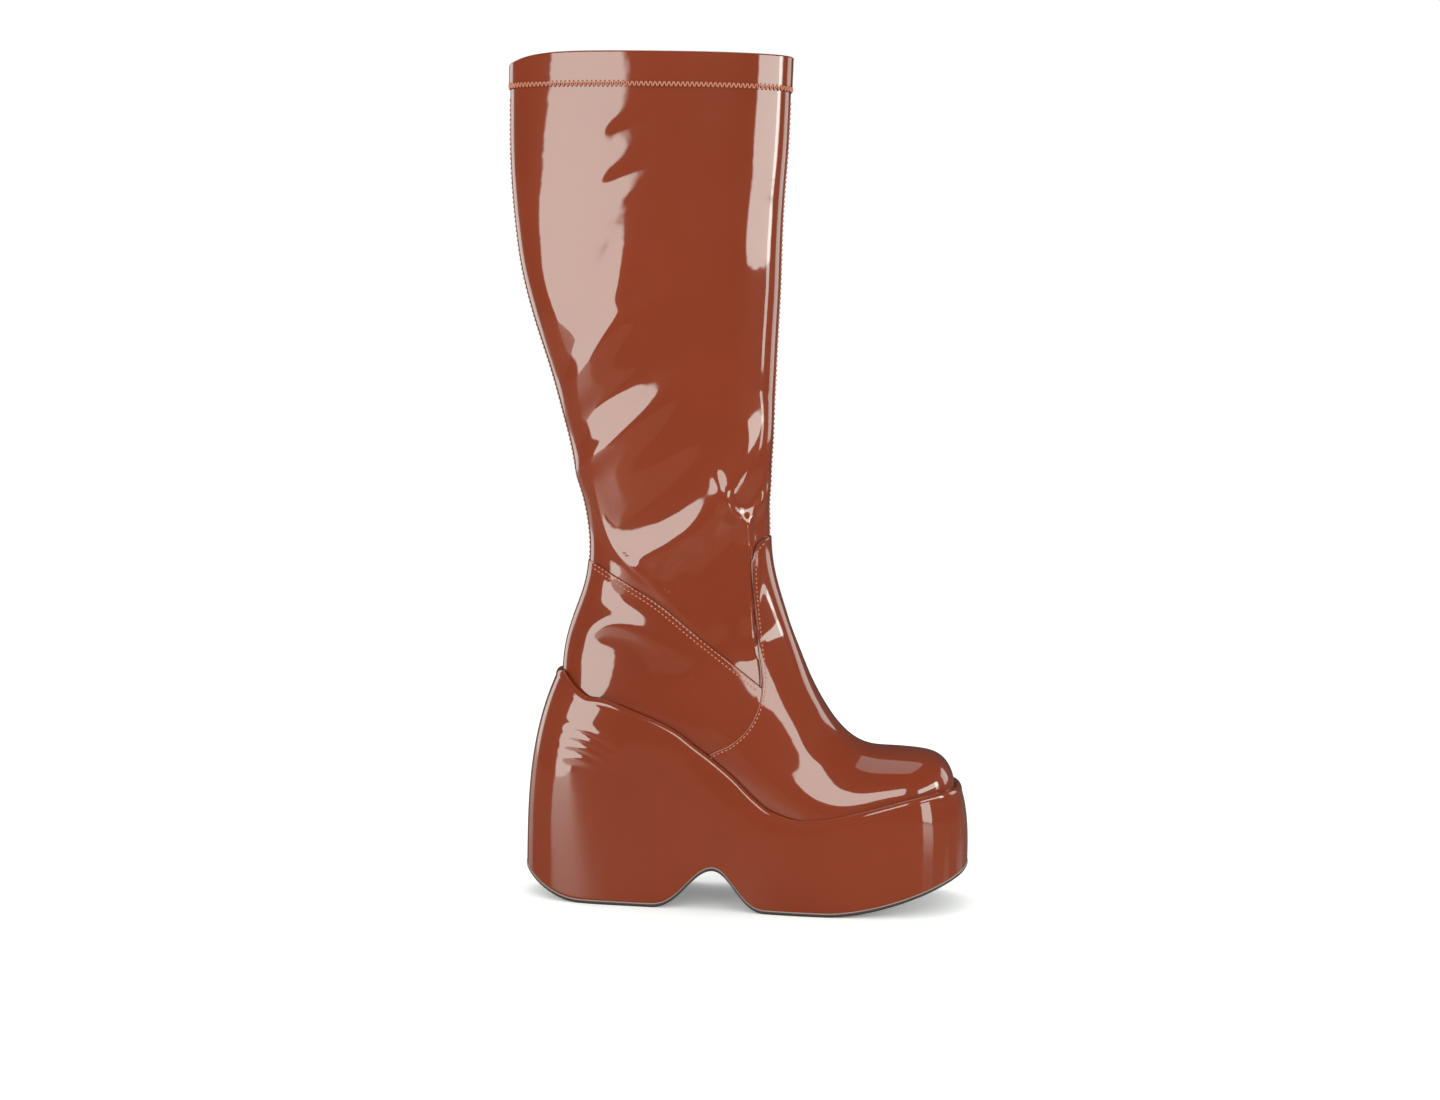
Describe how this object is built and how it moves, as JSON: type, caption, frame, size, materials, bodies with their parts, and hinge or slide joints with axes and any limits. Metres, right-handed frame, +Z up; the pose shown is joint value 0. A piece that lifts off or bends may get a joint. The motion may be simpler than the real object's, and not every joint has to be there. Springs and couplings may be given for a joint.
{
  "type": "platform boot",
  "caption": "Knee-high platform boot for the right foot with a square toe, a sloped platform in one with the heel, an arch cut under the waist, and a smooth tall shaft.",
  "frame": {"origin": "on the floor, under the middle of the heel's flat spot, 58 mm ahead of the back of the sole", "axes": "+X forward to the toe, +Y to the inner side of the foot (this is a right boot), +Z up"},
  "size_m": [0.2876, 0.1007, 0.509],
  "materials": {
    "patent": "high-gloss patent",
    "covered_sole": "high-gloss patent over a light core",
    "rubber": "matt",
    "lining": "matt"
  },
  "bodies": {
    "root": {"outsole": "rubber", "platform": "covered_sole", "insole": "lining", "upper": "patent", "vamp": "patent", "heel_counter": "patent", "collar_band": "patent"}
  },
  "joints": []
}
